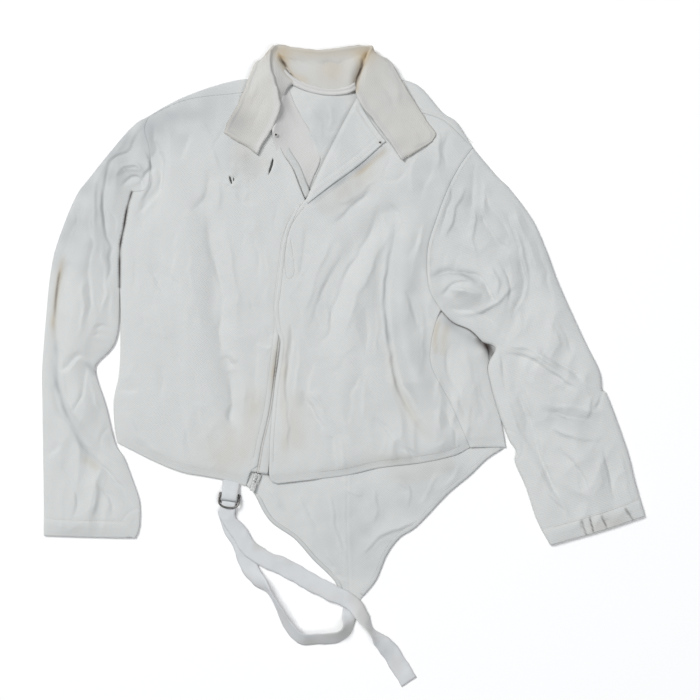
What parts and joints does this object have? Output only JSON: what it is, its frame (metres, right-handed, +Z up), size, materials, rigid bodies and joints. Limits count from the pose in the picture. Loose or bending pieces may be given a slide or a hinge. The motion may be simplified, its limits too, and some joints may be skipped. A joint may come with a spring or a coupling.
{
  "type": "fencing jacket",
  "caption": "White fencing jacket laid flat, front up: stand collar, open lapel, front zip, long sleeves, pointed tail and a strap looped through two D-rings.",
  "frame": {"origin": "centre of the jacket's bounding box on the surface it lies on", "axes": "+X towards the wearer's left sleeve, +Y towards the collar, +Z up from the surface, out of the jacket's front"},
  "size_m": [0.8432, 0.8994, 0.032],
  "materials": {
    "canvas": "matt twill, slightly creased",
    "collar": "matt twill, yellowed",
    "webbing": "woven tape, slight sheen",
    "tape": "matt woven tape",
    "zip_metal": "satin plated",
    "ring_steel": "dark, worn"
  },
  "bodies": {
    "jacket": {"back": "canvas", "back_shoulder_left": "canvas", "back_shoulder_right": "canvas", "collar": "collar", "d_ring_lower": "ring_steel", "d_ring_upper": "ring_steel", "facing_left": "canvas", "facing_right": "canvas", "front_left": "canvas", "front_right": "canvas", "neck_tape": "tape", "ring_tab": "webbing", "side_left": "canvas", "sleeve_left_under": "canvas", "sleeve_left_upper": "canvas", "sleeve_right_under": "canvas", "sleeve_right_upper": "canvas", "snap_left": "zip_metal", "snap_right": "zip_metal", "strap_end": "webbing", "strap_from_tail": "webbing", "strap_return": "webbing", "strap_through_rings": "webbing", "strap_to_rings": "webbing", "tail_binding_left": "tape", "tail_binding_right": "tape", "zip_chain": "zip_metal", "zip_slider": "zip_metal", "zip_tape_left": "tape", "zip_tape_right": "tape"},
    "zip_pull": {"zip_pull": "zip_metal"}
  },
  "joints": [
    {"name": "pull_swing", "type": "hinge", "parent": "jacket", "child": "zip_pull", "pos_m": [-0.12165, -0.15679, 0.0077], "axis": [-0.9397, 0.342, 0], "range_deg": [0, 130]}
  ]
}
